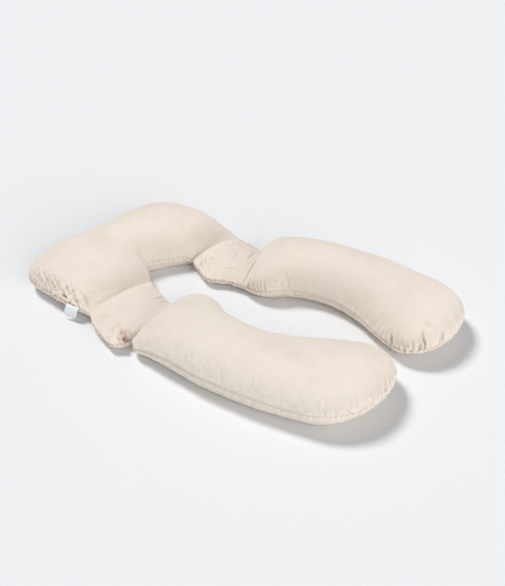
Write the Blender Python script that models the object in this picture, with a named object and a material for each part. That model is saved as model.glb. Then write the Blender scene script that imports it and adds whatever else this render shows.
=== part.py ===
# Body pillow lying flat, in metres.
# A C-shaped head pad carries two thin hinge panels, and each hinge panel carries a curved arm.
# A folded woven label is sewn into the head pad's side seam.
# +X runs from the head pad to the arms' far ends, +Y towards the back arm, +Z up.
# The origin is under the middle of the whole pillow, on the surface it rests on.

import math
from collections import namedtuple

import bpy
import numpy as np

PIECE_GAP = 0.0003
SECTION_POINTS = 28

# Shape of a filled section above its side seam: powers of its rise and of its width.
CROWN_POWER = 0.95
WIDTH_POWER = 1.00
# Beneath the seam: share of the half width drawn in, and the bulge of that part, where 1 is straight.
TUCK = 0.25
BULGE = 0.60

# Head pad: a section from the neck cut-out to the outer side, a row for each section of the C.
HeadRow = namedtuple("HeadRow", "inner_x inner_y outer_x outer_y top seam")
HEAD_ROWS = (
    HeadRow(0.448, -0.202, 0.430, -0.462, 0.060, 0.030),
    HeadRow(0.420, -0.186, 0.350, -0.475, 0.115, 0.045),
    HeadRow(0.396, -0.172, 0.240, -0.475, 0.138, 0.045),
    HeadRow(0.380, -0.161, 0.130, -0.458, 0.146, 0.045),
    HeadRow(0.371, -0.152, 0.085, -0.364, 0.148, 0.045),
    HeadRow(0.369, -0.143, 0.109, -0.250, 0.148, 0.045),
    HeadRow(0.374, -0.130, 0.120, -0.130, 0.148, 0.045),
    HeadRow(0.386, -0.109, 0.120, 0.000, 0.150, 0.045),
    HeadRow(0.402, -0.083, 0.138, 0.100, 0.150, 0.045),
    HeadRow(0.420, -0.056, 0.210, 0.166, 0.144, 0.045),
    HeadRow(0.440, -0.029, 0.350, 0.203, 0.124, 0.045),
    HeadRow(0.463, -0.006, 0.490, 0.206, 0.060, 0.030),
)
HEAD_STATIONS = 46

# Arms: sections square to their own length, a row for each; sway is towards the other arm.
# The last rows draw the underside in, so that the seam is the rim of the rounded end.
ArmRow = namedtuple("ArmRow", "along sway half_width top seam tuck bulge")
ARM_FRONT_ROWS = (
    ArmRow(0.000, -0.011, 0.153, 0.060, 0.030, TUCK, BULGE),
    ArmRow(0.030, -0.012, 0.160, 0.110, 0.038, TUCK, BULGE),
    ArmRow(0.110, -0.022, 0.160, 0.150, 0.045, TUCK, BULGE),
    ArmRow(0.170, -0.046, 0.142, 0.155, 0.045, TUCK, BULGE),
    ArmRow(0.230, -0.062, 0.134, 0.155, 0.045, TUCK, BULGE),
    ArmRow(0.330, -0.067, 0.130, 0.155, 0.045, TUCK, BULGE),
    ArmRow(0.430, -0.053, 0.140, 0.158, 0.045, TUCK, BULGE),
    ArmRow(0.530, -0.019, 0.162, 0.158, 0.045, 0.30, 0.65),
    ArmRow(0.630, 0.009, 0.176, 0.158, 0.052, 0.42, 0.80),
    ArmRow(0.742, 0.018, 0.178, 0.150, 0.062, 0.50, 0.90),
)
ARM_BACK_ROWS = (
    ArmRow(0.000, -0.004, 0.144, 0.060, 0.030, TUCK, BULGE),
    ArmRow(0.030, -0.004, 0.150, 0.110, 0.038, TUCK, BULGE),
    ArmRow(0.110, -0.011, 0.147, 0.150, 0.045, TUCK, BULGE),
    ArmRow(0.170, -0.036, 0.132, 0.154, 0.045, TUCK, BULGE),
    ArmRow(0.230, -0.053, 0.124, 0.154, 0.045, TUCK, BULGE),
    ArmRow(0.330, -0.060, 0.122, 0.154, 0.045, TUCK, BULGE),
    ArmRow(0.430, -0.048, 0.134, 0.156, 0.045, TUCK, BULGE),
    ArmRow(0.530, -0.016, 0.156, 0.158, 0.045, 0.30, 0.65),
    ArmRow(0.630, 0.010, 0.172, 0.158, 0.052, 0.42, 0.80),
    ArmRow(0.742, 0.020, 0.174, 0.150, 0.062, 0.50, 0.90),
)
ARM_BODY_STATIONS = 24
ARM_END_STATIONS = 11
ARM_END_LENGTH = 0.16
ARM_END_WIDTH_POWER = 2.4
ARM_END_CROWN_POWER = 2.2
ARM_UNDER_LENGTH = 0.13
ARM_LIFT_POWER = 1.2

# Where each arm starts, how far it is turned, which side the other arm lies on, and the skew of its start.
ArmPlace = namedtuple("ArmPlace", "x y turn_deg inward skew")
ARM_FRONT_PLACE = ArmPlace(0.655, -0.332, 7.4, 1.0, 0.20)
ARM_BACK_PLACE = ArmPlace(0.650, 0.105, 7.0, -1.0, 0.24)
ARM_SKEW_LENGTH = 0.30

# Hinge panels: thin and slack, from the head pad's end to part of the arm's start.
HingeRow = namedtuple("HingeRow", "inner_x inner_y outer_x outer_y")
HINGE_FRONT_ROWS = (
    HingeRow(0.500, -0.220, 0.475, -0.490),
    HingeRow(0.545, -0.230, 0.545, -0.512),
    HingeRow(0.600, -0.238, 0.618, -0.515),
)
HINGE_BACK_ROWS = (
    HingeRow(0.495, -0.022, 0.520, 0.200),
    HingeRow(0.545, -0.042, 0.560, 0.198),
    HingeRow(0.610, -0.034, 0.610, 0.188),
)
HINGE_FRONT_ARM_SPAN = (-0.140, 0.085)
HINGE_BACK_ARM_SPAN = (-0.075, 0.130)
HINGE_TOP = 0.054
HINGE_SEAM = 0.028
HINGE_STATIONS = 14

# Label: a strip folded in half, its two ends sewn into the side seam.
LABEL_START_X = 0.355
LABEL_WIDTH = 0.050
LABEL_COLUMNS = 10
LABEL_LAYER = 0.0007
LABEL_LAYER_GAP = 0.0006
LABEL_FOLD_STEPS = 5
LabelRow = namedtuple("LabelRow", "outward z")
LABEL_ROWS = (
    LabelRow(0.0000, 0.0445),
    LabelRow(0.0050, 0.0430),
    LabelRow(0.0100, 0.0385),
    LabelRow(0.0140, 0.0320),
    LabelRow(0.0170, 0.0245),
    LabelRow(0.0190, 0.0170),
)

FABRIC_COLOR = (0.80, 0.71, 0.62, 1.0)
FABRIC_ROUGHNESS = 0.90
LABEL_COLOR = (0.88, 0.89, 0.93, 1.0)
LABEL_ROUGHNESS = 0.75
SHARP_EDGE_DEG = 50.0


def smooth_rows(rows, at):
    """Cubic curve through the rows, read at positions 0 to 1 along the table."""
    rows = np.array(rows, dtype=float)
    last = len(rows) - 1
    place = at * last
    index = np.clip(place.astype(int), 0, last - 1)
    part = (place - index)[:, None]
    before = rows[np.maximum(index - 1, 0)]
    start = rows[index]
    end = rows[index + 1]
    after = rows[np.minimum(index + 2, last)]
    start_slope = (end - before) / np.where(index > 0, 2, 1)[:, None]
    end_slope = (after - start) / np.where(index < last - 1, 2, 1)[:, None]
    return hermite(start, start_slope, end, end_slope, part)


def smooth_along(rows, along):
    """Cubic curve through rows whose first column is the distance along the piece."""
    rows = np.array(rows, dtype=float)
    position = rows[:, 0]
    index = np.clip(np.searchsorted(position, along, side="right") - 1, 0, len(rows) - 2)
    slopes = np.diff(rows, axis=0) / np.diff(position)[:, None]
    slopes = np.concatenate([slopes[:1], (slopes[1:] + slopes[:-1]) / 2, slopes[-1:]])
    step = (position[index + 1] - position[index])[:, None]
    part = ((along - position[index]) / step[:, 0])[:, None]
    return hermite(rows[index], step * slopes[index], rows[index + 1], step * slopes[index + 1], part)


def hermite(start, start_slope, end, end_slope, part):
    """Cubic between two values with the given slopes."""
    return (
        (2 * part**3 - 3 * part**2 + 1) * start
        + (part**3 - 2 * part**2 + part) * start_slope
        + (3 * part**2 - 2 * part**3) * end
        + (part**3 - part**2) * end_slope
    )


def filled_sections(inner, outer, top, seam, tuck=TUCK, bulge=BULGE, lift=0.0):
    """Closed rings: crowned above the side seam, tucked in below it to a flat underside at z = 0.

    lift, from 0 to 1, raises the underside towards the seam where a rounded end leaves the floor.
    """
    tuck, bulge, lift = (value * np.ones((len(top), 1)) for value in (tuck, bulge, lift))
    turn = np.linspace(0, 2 * math.pi, SECTION_POINTS, endpoint=False)
    across = np.sign(np.cos(turn)) * np.abs(np.cos(turn)) ** WIDTH_POWER
    rise = np.abs(np.sin(turn))
    middle = (inner + outer) / 2
    half = (outer - inner) / 2
    plan = middle[:, None] + half[:, None] * across[None, :, None]
    upper = seam[:, None] + (top - seam)[:, None] * rise[None] ** CROWN_POWER
    drawn_in = np.minimum((1 - np.abs(across)) / tuck, 1.0) ** bulge
    lower = seam[:, None] * (1 - drawn_in * (1 - lift))
    height = np.where(np.sin(turn)[None] >= 0, upper, lower)
    return np.concatenate([plan, height[..., None]], axis=-1)


def head_rings():
    """Sections fanned round the neck cut-out, from the front hinge panel to the back one."""
    rows = smooth_rows(HEAD_ROWS, np.linspace(0, 1, HEAD_STATIONS))
    return filled_sections(rows[:, 0:2], rows[:, 2:4], rows[:, 4], rows[:, 5])


def place_on_arm(place, along, sway):
    """Plan points of an arm from its own length and sway."""
    turn = math.radians(place.turn_deg)
    side = sway * place.inward
    fade = np.clip(1 - along / ARM_SKEW_LENGTH, 0, 1) ** 2
    along = along - place.skew * side * fade
    x = place.x + along * math.cos(turn) - side * math.sin(turn)
    y = place.y + along * math.sin(turn) + side * math.cos(turn)
    return np.stack([x, y], axis=-1)


def arm_rings(table, place):
    """Sections along the arm, and the point at which its rounded end closes."""
    length = table[-1].along
    body_end = length - ARM_END_LENGTH
    swing = np.linspace(0, math.pi / 2, ARM_END_STATIONS + 1)[:-1]
    reach = np.sin(swing) ** (2 / ARM_END_WIDTH_POWER)
    along = np.concatenate([
        np.linspace(0, body_end, ARM_BODY_STATIONS, endpoint=False),
        body_end + ARM_END_LENGTH * reach,
    ])
    rows = smooth_along(table, along)
    sway, half, top, seam = rows[:, 1], rows[:, 2], rows[:, 3], rows[:, 4]
    tuck, bulge = rows[:, 5:6], rows[:, 6:7]
    into_end = np.clip((along - body_end) / ARM_END_LENGTH, 0, 1)
    half = half * (1 - into_end**ARM_END_WIDTH_POWER) ** (1 / ARM_END_WIDTH_POWER)
    top = seam + (top - seam) * (1 - into_end**ARM_END_CROWN_POWER) ** (1 / ARM_END_CROWN_POWER)
    under = np.clip((along - length + ARM_UNDER_LENGTH) / ARM_UNDER_LENGTH, 0, 1)
    lift = under[:, None] ** ARM_LIFT_POWER
    inner = place_on_arm(place, along, sway + half)
    outer = place_on_arm(place, along, sway - half)
    tip = place_on_arm(place, np.array([length]), np.array([table[-1].sway]))[0]
    tip = np.array([tip[0], tip[1], table[-1].seam])
    return filled_sections(inner, outer, top, seam, tuck, bulge, lift), tip


def away_from(first, last, inside, distance):
    """The line from first to last moved square to itself, away from the inside point."""
    along = (last - first) / np.linalg.norm(last - first)
    square = np.array([-along[1], along[0]])
    if np.dot(inside - first, square) > 0:
        square = -square
    return first + distance * square, last + distance * square


def hinge_rings(rows, head_row, place, arm_span):
    """Thin sections from the head pad's end face to the arm's start face, a gap away from each."""
    head_inner = np.array([head_row.inner_x, head_row.inner_y])
    head_outer = np.array([head_row.outer_x, head_row.outer_y])
    head_middle = HEAD_ROWS[len(HEAD_ROWS) // 2]
    head_side = np.array([head_middle.outer_x, head_middle.outer_y])
    start_inner, start_outer = away_from(head_inner, head_outer, head_side, PIECE_GAP)
    span = np.array([arm_span[1], arm_span[0]])
    end_inner, end_outer = place_on_arm(place, np.full(2, -PIECE_GAP), span)
    table = [np.concatenate([start_inner, start_outer])]
    table += [np.array(row) for row in rows]
    table += [np.concatenate([end_inner, end_outer])]
    smooth = smooth_rows(table, np.linspace(0, 1, HINGE_STATIONS))
    size = np.ones(HINGE_STATIONS)
    return filled_sections(smooth[:, 0:2], smooth[:, 2:4], HINGE_TOP * size, HINGE_SEAM * size)


def label_rings(head):
    """Cross-sections of the folded strip, one for each column along the side seam."""
    front_edge = head[HEAD_STATIONS // 4::-1, 0, 0:2]
    x = np.linspace(LABEL_START_X, LABEL_START_X + LABEL_WIDTH, LABEL_COLUMNS)
    y = np.interp(x, front_edge[:, 0], front_edge[:, 1])
    edge_line = np.array([x[-1] - x[0], y[-1] - y[0]])
    edge_line = edge_line / np.linalg.norm(edge_line)
    outward = np.array([edge_line[1], -edge_line[0]])

    path = np.array(LABEL_ROWS)
    run = np.gradient(path, axis=0)
    run = run / np.linalg.norm(run, axis=1)[:, None]
    square = np.stack([-run[:, 1], run[:, 0]], axis=-1)
    inside = LABEL_LAYER_GAP / 2
    outside = inside + LABEL_LAYER
    swing = np.linspace(math.pi / 2, -math.pi / 2, LABEL_FOLD_STEPS + 2)[1:-1]
    fold = np.cos(swing)[:, None] * run[-1] + np.sin(swing)[:, None] * square[-1]
    outer_side = np.concatenate([
        path + outside * square,
        path[-1] + outside * fold,
        (path - outside * square)[::-1],
    ])
    inner_side = np.concatenate([
        path + inside * square,
        path[-1] + inside * fold,
        (path - inside * square)[::-1],
    ])
    profile = np.concatenate([outer_side, inner_side[::-1]])
    distance = PIECE_GAP + profile[:, 0] - profile[:, 0].min()
    plan = np.stack([x, y], axis=-1)[:, None] + distance[None, :, None] * outward
    height = np.broadcast_to(profile[:, 1], plan.shape[:2])
    return np.concatenate([plan, height[..., None]], axis=-1)


def solid_from_rings(name, rings, origin, material, collection, tip=None):
    """Closed mesh through a run of rings, capped at both ends or drawn to a tip."""
    stations, around = rings.shape[:2]
    points = (rings.reshape(-1, 3) - origin).tolist()
    faces = []
    for station in range(stations - 1):
        low = station * around
        for step in range(around):
            beside = (step + 1) % around
            faces.append((low + step, low + around + step, low + around + beside, low + beside))
    faces.append(tuple(range(around)))
    last = (stations - 1) * around
    if tip is None:
        faces.append(tuple(last + around - 1 - step for step in range(around)))
    else:
        points.append((tip - origin).tolist())
        for step in range(around):
            faces.append((last + step, stations * around, last + (step + 1) % around))
    mesh = bpy.data.meshes.new(name)
    mesh.from_pydata(points, [], faces)
    mesh.validate()
    mesh.materials.append(material)
    if signed_volume(mesh) < 0:
        mesh.flip_normals()
    mesh.shade_smooth()
    mesh.set_sharp_from_angle(angle=math.radians(SHARP_EDGE_DEG))
    piece = bpy.data.objects.new(name, mesh)
    collection.objects.link(piece)
    return piece


def signed_volume(mesh):
    """Volume inside the mesh, negative when its faces point inwards."""
    mesh.calc_loop_triangles()
    volume = 0.0
    for triangle in mesh.loop_triangles:
        a, b, c = (mesh.vertices[index].co for index in triangle.vertices)
        volume += a.dot(b.cross(c)) / 6
    return volume


def cloth_material(name, color, roughness):
    """Plain cloth finish."""
    material = bpy.data.materials.new(name)
    material.use_nodes = True
    shader = material.node_tree.nodes["Principled BSDF"]
    shader.inputs["Base Color"].default_value = color
    shader.inputs["Roughness"].default_value = roughness
    material.diffuse_color = color
    return material


def clear_scene():
    """Start from an empty scene."""
    for thing in list(bpy.data.objects):
        bpy.data.objects.remove(thing, do_unlink=True)


def build():
    """Make every piece of the pillow."""
    clear_scene()
    pillow = bpy.data.collections.new("body_pillow")
    bpy.context.scene.collection.children.link(pillow)

    head = head_rings()
    arm_front, front_tip = arm_rings(ARM_FRONT_ROWS, ARM_FRONT_PLACE)
    arm_back, back_tip = arm_rings(ARM_BACK_ROWS, ARM_BACK_PLACE)
    hinge_front = hinge_rings(HINGE_FRONT_ROWS, HEAD_ROWS[0], ARM_FRONT_PLACE, HINGE_FRONT_ARM_SPAN)
    hinge_back = hinge_rings(HINGE_BACK_ROWS, HEAD_ROWS[-1], ARM_BACK_PLACE, HINGE_BACK_ARM_SPAN)
    label = label_rings(head)

    rings = (head, hinge_front, hinge_back, arm_front, arm_back, label)
    everything = np.concatenate([ring.reshape(-1, 3) for ring in rings] + [[front_tip], [back_tip]])
    low = everything.min(axis=0)
    high = everything.max(axis=0)
    origin = np.array([(low[0] + high[0]) / 2, (low[1] + high[1]) / 2, low[2]])

    pieces = (
        ("head_pad", head, None, FABRIC_COLOR, FABRIC_ROUGHNESS),
        ("hinge_panel_front", hinge_front, None, FABRIC_COLOR, FABRIC_ROUGHNESS),
        ("hinge_panel_back", hinge_back, None, FABRIC_COLOR, FABRIC_ROUGHNESS),
        ("arm_front", arm_front, front_tip, FABRIC_COLOR, FABRIC_ROUGHNESS),
        ("arm_back", arm_back, back_tip, FABRIC_COLOR, FABRIC_ROUGHNESS),
        ("label", label, None, LABEL_COLOR, LABEL_ROUGHNESS),
    )
    for name, ring, tip, color, roughness in pieces:
        material = cloth_material(name + "_cloth", color, roughness)
        solid_from_rings(name, ring, origin, material, pillow, tip)


build()
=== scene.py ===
import math

import bpy
import numpy as np
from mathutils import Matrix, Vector


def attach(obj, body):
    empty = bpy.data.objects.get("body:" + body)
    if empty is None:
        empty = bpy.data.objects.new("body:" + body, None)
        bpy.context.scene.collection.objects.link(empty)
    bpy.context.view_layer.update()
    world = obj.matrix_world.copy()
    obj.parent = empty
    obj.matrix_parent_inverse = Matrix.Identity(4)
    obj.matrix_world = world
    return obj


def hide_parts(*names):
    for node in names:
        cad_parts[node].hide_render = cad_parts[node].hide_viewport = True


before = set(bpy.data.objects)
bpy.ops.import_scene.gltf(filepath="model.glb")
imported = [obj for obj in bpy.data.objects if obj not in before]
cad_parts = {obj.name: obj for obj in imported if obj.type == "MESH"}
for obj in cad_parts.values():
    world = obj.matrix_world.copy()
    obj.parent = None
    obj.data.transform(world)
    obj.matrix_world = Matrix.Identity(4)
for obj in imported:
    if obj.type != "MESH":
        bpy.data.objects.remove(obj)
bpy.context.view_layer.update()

planOrigin = np.array([0.73838, -0.08843])  # this point of the pillow's plan is under its middle
curveSteps = 4001  # steps of the fine tables that even steps are read from


# curves through rows

def hermite(start, startSlope, end, endSlope, part):
    # cubic with value and slope given at both ends, part runs 0 to 1
    return ((2 * part**3 - 3 * part**2 + 1) * start + (part**3 - 2 * part**2 + part) * startSlope
            + (3 * part**2 - 2 * part**3) * end + (part**3 - part**2) * endSlope)


def rowsEven(rows, at):
    # cubic through evenly spaced rows, read at places 0 to 1
    rows = np.array(rows, float)
    last = len(rows) - 1
    place = np.clip(at, 0, 1) * last
    i = np.clip(place.astype(int), 0, last - 1)
    before, after = rows[np.maximum(i - 1, 0)], rows[np.minimum(i + 2, last)]
    startSlope = (rows[i + 1] - before) / np.where(i > 0, 2, 1)[:, None]
    endSlope = (after - rows[i]) / np.where(i < last - 1, 2, 1)[:, None]
    return hermite(rows[i], startSlope, rows[i + 1], endSlope, (place - i)[:, None])


def rowsAlong(rows, along):
    # cubic through rows whose first column is the distance along the piece
    rows = np.array(rows, float)
    x = rows[:, 0]
    i = np.clip(np.searchsorted(x, along, side="right") - 1, 0, len(rows) - 2)
    slope = np.diff(rows, axis=0) / np.diff(x)[:, None]
    slope = np.concatenate([slope[:1], (slope[1:] + slope[:-1]) / 2, slope[-1:]])
    step = (x[i + 1] - x[i])[:, None]
    part = ((along - x[i]) / step[:, 0])[:, None]
    return hermite(rows[i], step * slope[i], rows[i + 1], step * slope[i + 1], part)


def runLength(points, axis=0):
    # distance walked along one axis of a grid of points, starting at 0
    step = np.linalg.norm(np.diff(points, axis=axis), axis=-1)
    start = np.zeros_like(np.take(step, [0], axis=axis))
    return np.concatenate([start, np.cumsum(step, axis=axis)], axis=axis)


def smooth01(x):
    # 3 x^2 - 2 x^3 between 0 and 1, level beyond them
    x = np.clip(x, 0, 1)
    return x * x * (3 - 2 * x)


def roundRise(x):
    # quarter round from 0 to 1: sqrt(1 - (1 - x)^2)
    return np.sqrt(1 - (1 - np.clip(x, 0, 1)) ** 2)


def crowded(count, places):
    # even steps 0 to 1, drawn closer together round some places: (centre, half width, strength)
    # density = 1 + sum of strength * exp(-((x - centre) / half width)^2)
    fine = np.linspace(0, 1, curveSteps)
    weight = 1 + sum(k * np.exp(-((fine - c) / w) ** 2) for c, w, k in places)
    walked = np.concatenate([[0], np.cumsum((weight[1:] + weight[:-1]) / 2)])
    return np.interp(np.linspace(0, 1, count), walked / walked[-1], fine)


def pinched(top, seam, distance, pinch):
    # the crown drops towards a sewn end: seam + (top - seam) * (1 - amount * (1 - rise))
    # pinch holds the amount and the width over which it rises again
    amount, width = pinch
    return seam + (top - seam) * (1 - amount * (1 - smooth01(distance / width)))


# patches: grids of points that are sewn together into one cover

seamCrowding = 0.4  # how much closer together the points lie beside a seam


def acrossAt(count):
    # places across a panel from the outer seam 1 to the inner one -1
    # cos(pi * (x - crowding * sin(2 pi x) / (2 pi)))
    x = np.linspace(0, 1, count)
    return np.cos(math.pi * (x - seamCrowding * np.sin(2 * math.pi * x) / (2 * math.pi)))


def patch(plan, height, outline, ends, middle, fromMiddle, upper):
    # one panel: points, place along the outline, distance from the seam and from a sewn end
    # flat cut in metres = middle + direction * (length from the seam to the middle - length walked)
    points = np.concatenate([plan - planOrigin, height[..., None]], axis=-1)
    walked = runLength(points, axis=1)
    centre = walked[:, fromMiddle:fromMiddle + 1]
    reach = np.minimum(walked, walked[:, -1:] - walked) if fromMiddle < points.shape[1] - 1 else walked
    unit = plan[:, :1] - plan[:, fromMiddle:fromMiddle + 1]
    unit = unit / np.linalg.norm(unit, axis=-1)[..., None]
    return {"points": points, "outline": outline * np.ones_like(walked), "reach": reach,
            "ends": ends * np.ones_like(walked), "upper": np.full(walked.shape, float(upper)),
            "cut": middle[:, None] + unit * (centre - walked)[..., None], "kind": "upper" if upper else "lower"}


def bodyPatches(outer, inner, top, seam, tuck, bulge, crown, ends, count, lift=0.0, innerTuck=1.0):
    # two panels between an outer and an inner seam, plan = middle + half * across
    # lift raises the outer seam, innerTuck is the share of the tuck on the inner side
    # upper height = seam + (top - seam) * (1 - across^2)^crown
    # lower height = seam * (1 - min((1 - |across|) / tuck, 1)^bulge)
    across = acrossAt(count)[None]
    middle, half = (outer + inner) / 2, (outer - inner) / 2
    plan = middle[:, None] + half[:, None] * across[..., None]
    seam, tuck, bulge = seam[:, None], tuck[:, None], bulge[:, None]
    seam = seam + np.reshape(lift, (-1, 1)) * (across > 0)
    tuck = tuck * np.where(across < 0, np.reshape(innerTuck, (-1, 1)), 1.0)
    upperZ = seam + (top[:, None] - seam) * np.clip(1 - across**2, 0, 1) ** crown
    lowerZ = seam * (1 - np.minimum((1 - np.abs(across)) / tuck, 1) ** bulge)
    outline = np.where(across >= 0, runLength(outer)[:, None], -runLength(inner)[:, None])
    return [patch(plan, z, outline, ends[:, None], middle, count // 2, upper)
            for z, upper in ((upperZ, True), (lowerZ, False))]


def endCap(made, row, steps):
    # closes a sewn end: straight lines from the upper panel's edge to the lower panel's edge
    part = np.linspace(0, 1, steps)[:, None]
    cap = {"kind": "cap"}
    for name in ("points", "outline", "reach", "upper", "cut"):
        high, low = made[0][name][row][None], made[1][name][row][None]
        share = part if high.ndim == 2 else part[..., None]
        cap[name] = np.where(high == low, high, high * (1 - share) + low * share)
    cap["ends"] = np.zeros(cap["reach"].shape)
    return cap


# head pad

headPad = {
    # inner x, y and outer x, y of each section, crown height, seam height
    "rows": [
        (0.448, -0.202, 0.430, -0.462, 0.058, 0.030),
        (0.420, -0.186, 0.350, -0.475, 0.102, 0.045),
        (0.396, -0.172, 0.240, -0.477, 0.141, 0.045),
        (0.380, -0.161, 0.125, -0.462, 0.153, 0.045),
        (0.371, -0.152, 0.080, -0.364, 0.156, 0.045),
        (0.369, -0.143, 0.105, -0.250, 0.157, 0.045),
        (0.374, -0.130, 0.114, -0.130, 0.157, 0.045),
        (0.386, -0.109, 0.114, 0.000, 0.158, 0.045),
        (0.402, -0.083, 0.134, 0.104, 0.159, 0.045),
        (0.420, -0.056, 0.210, 0.172, 0.152, 0.045),
        (0.433, -0.033, 0.350, 0.206, 0.130, 0.045),
        (0.452, -0.014, 0.488, 0.206, 0.060, 0.030),
    ],
    "crowd": [(0.0, 0.03, 1.5), (0.22, 0.12, 1.2), (1.0, 0.03, 1.5)],
    "fine": (470, 105), "coarse": (180, 61), "capSteps": 5,  # steps along and across
    "tuck": 0.25, "bulge": 0.60,  # share of the half width drawn in below the seam, power of that part
    "crown": 0.62, "fill": 0.75,  # power of the crown, lower is fuller, and how full the piece is
    "frontPinch": (0.30, 0.050), "backPinch": (0.30, 0.030),  # drop of the crown at its ends: amount, width
    "innerTuck": [(0.0, 0.40, 0.55, 0.85, 1.0), (1.0, 0.8, 0.35, 0.55, 1.0)],  # place along, share
}


def headPatches(stations, count):
    # sections fanned round the neck cut-out, each from the cubic through the rows
    rows = rowsEven(headPad["rows"], crowded(stations, headPad["crowd"]))
    inner, outer, top, seam = rows[:, 0:2], rows[:, 2:4], rows[:, 4], rows[:, 5]
    walked = runLength((inner + outer) / 2)
    top = pinched(top, seam, walked, headPad["frontPinch"])
    top = pinched(top, seam, walked[-1] - walked, headPad["backPinch"])
    full = np.ones(stations)
    ends = np.minimum(walked, walked[-1] - walked)
    made = bodyPatches(outer, inner, top, seam, full * headPad["tuck"], full * headPad["bulge"],
                       headPad["crown"], ends, count,
                       innerTuck=np.interp(walked / walked[-1], *headPad["innerTuck"]))
    return made + [endCap(made, 0, headPad["capSteps"]), endCap(made, -1, headPad["capSteps"])]


# arms

arms = {
    # along, sway, half width, crown height, seam height, share drawn in below the seam, bulge of that part
    "frontRows": [
        (-0.032, -0.011, 0.153, 0.060, 0.030, 0.25, 0.60),
        (-0.005, -0.012, 0.158, 0.087, 0.035, 0.25, 0.60),
        (0.030, -0.012, 0.160, 0.127, 0.040, 0.25, 0.60),
        (0.110, -0.028, 0.155, 0.152, 0.045, 0.25, 0.60),
        (0.170, -0.050, 0.139, 0.158, 0.045, 0.25, 0.60),
        (0.230, -0.062, 0.135, 0.158, 0.045, 0.25, 0.60),
        (0.330, -0.067, 0.132, 0.158, 0.045, 0.25, 0.60),
        (0.430, -0.053, 0.142, 0.161, 0.045, 0.25, 0.60),
        (0.530, -0.019, 0.165, 0.161, 0.045, 0.25, 0.62),
        (0.630, 0.009, 0.179, 0.161, 0.050, 0.26, 0.66),
        (0.747, 0.018, 0.181, 0.153, 0.058, 0.30, 0.70),
    ],
    "backRows": [
        (0.000, -0.004, 0.144, 0.060, 0.030, 0.25, 0.60),
        (0.030, -0.004, 0.150, 0.110, 0.038, 0.25, 0.60),
        (0.110, -0.012, 0.148, 0.153, 0.045, 0.25, 0.60),
        (0.170, -0.037, 0.134, 0.158, 0.045, 0.25, 0.60),
        (0.230, -0.054, 0.127, 0.158, 0.045, 0.25, 0.60),
        (0.330, -0.061, 0.125, 0.158, 0.045, 0.25, 0.60),
        (0.430, -0.049, 0.138, 0.161, 0.045, 0.25, 0.60),
        (0.530, -0.017, 0.160, 0.162, 0.045, 0.30, 0.65),
        (0.630, 0.009, 0.176, 0.161, 0.050, 0.33, 0.72),
        (0.744, 0.019, 0.178, 0.153, 0.060, 0.40, 0.80),
    ],
    # start x, y, turn in degrees, side of the other arm, skew of the start
    "frontPlace": (0.655, -0.332, 7.4, 1.0, -0.03),
    "backPlace": (0.650, 0.105, 7.0, -1.0, 0.24),
    "skewLength": 0.30,
    "frontLift": 0.020, "backLift": 0.0, "liftLength": 0.18,  # the outer seam lies this much higher
    "endLength": 0.16, "rayPower": 1.3,  # rounded end, how its rays crowd round the tip
    "frontPowers": (1.95, 2.5), "backPowers": (2.4, 2.15),  # outer and inner corner of the end
    "frontSpan": (-0.118, 0.083), "backSpan": (-0.075, 0.130),  # the sewn end, outer and inner side
    "noseOuter": 0.050, "noseInner": 0.100,  # length in which it widens to the full width
    "crowd": [(0.0, 0.05, 2.5)],
    "fine": (280, 260, 107), "coarse": (100, 90, 61), "capSteps": 5,  # steps along, rays, steps across
    "frontPinch": (0.0, 0.035), "backPinch": (0.22, 0.035),  # drop of the crown at the sewn end
    "tipTuck": 0.20, "tipBulge": 0.20, "crown": 0.53, "fill": 0.8,  # what the tip adds to tuck and bulge
}


def onArm(place, along, sway):
    # plan point of an arm from the distance along it and the sway towards the other arm
    # start + along * direction + sway * square to it, the start line turned by the skew
    x, y, turn, inward, skew = place
    turn = math.radians(turn)
    side = sway * inward
    along = along - skew * side * np.clip(1 - along / arms["skewLength"], 0, 1) ** 2
    return np.stack([x + along * math.cos(turn) - side * math.sin(turn),
                     y + along * math.sin(turn) + side * math.cos(turn)], axis=-1)


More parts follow.
